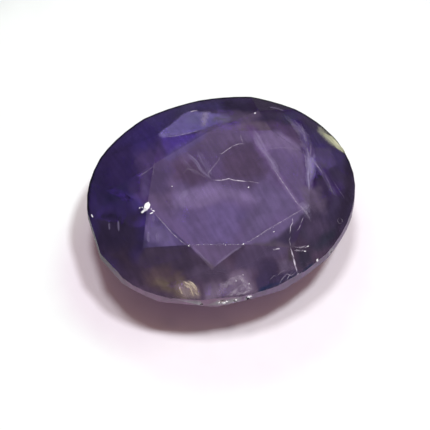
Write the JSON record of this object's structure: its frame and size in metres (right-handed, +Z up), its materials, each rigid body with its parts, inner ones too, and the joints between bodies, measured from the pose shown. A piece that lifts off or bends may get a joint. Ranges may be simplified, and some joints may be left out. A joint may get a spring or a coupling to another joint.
{
  "type": "iolite gemstone",
  "caption": "Faceted oval violet gemstone with a broad flat table, a thin girdle and a stepped pavilion that ends in a small flat bottom facet.",
  "frame": {"origin": "centre of the stone's outline, at the level of the flat bottom facet that it stands on", "axes": "+X along the stone's length, +Y across its width, +Z up out of the table"},
  "size_m": [0.01, 0.0082, 0.0047],
  "materials": {
    "iolite": "polished, see-through violet crystal with cloudy inclusions"
  },
  "bodies": {
    "root": {"gemstone": "iolite"}
  },
  "joints": []
}
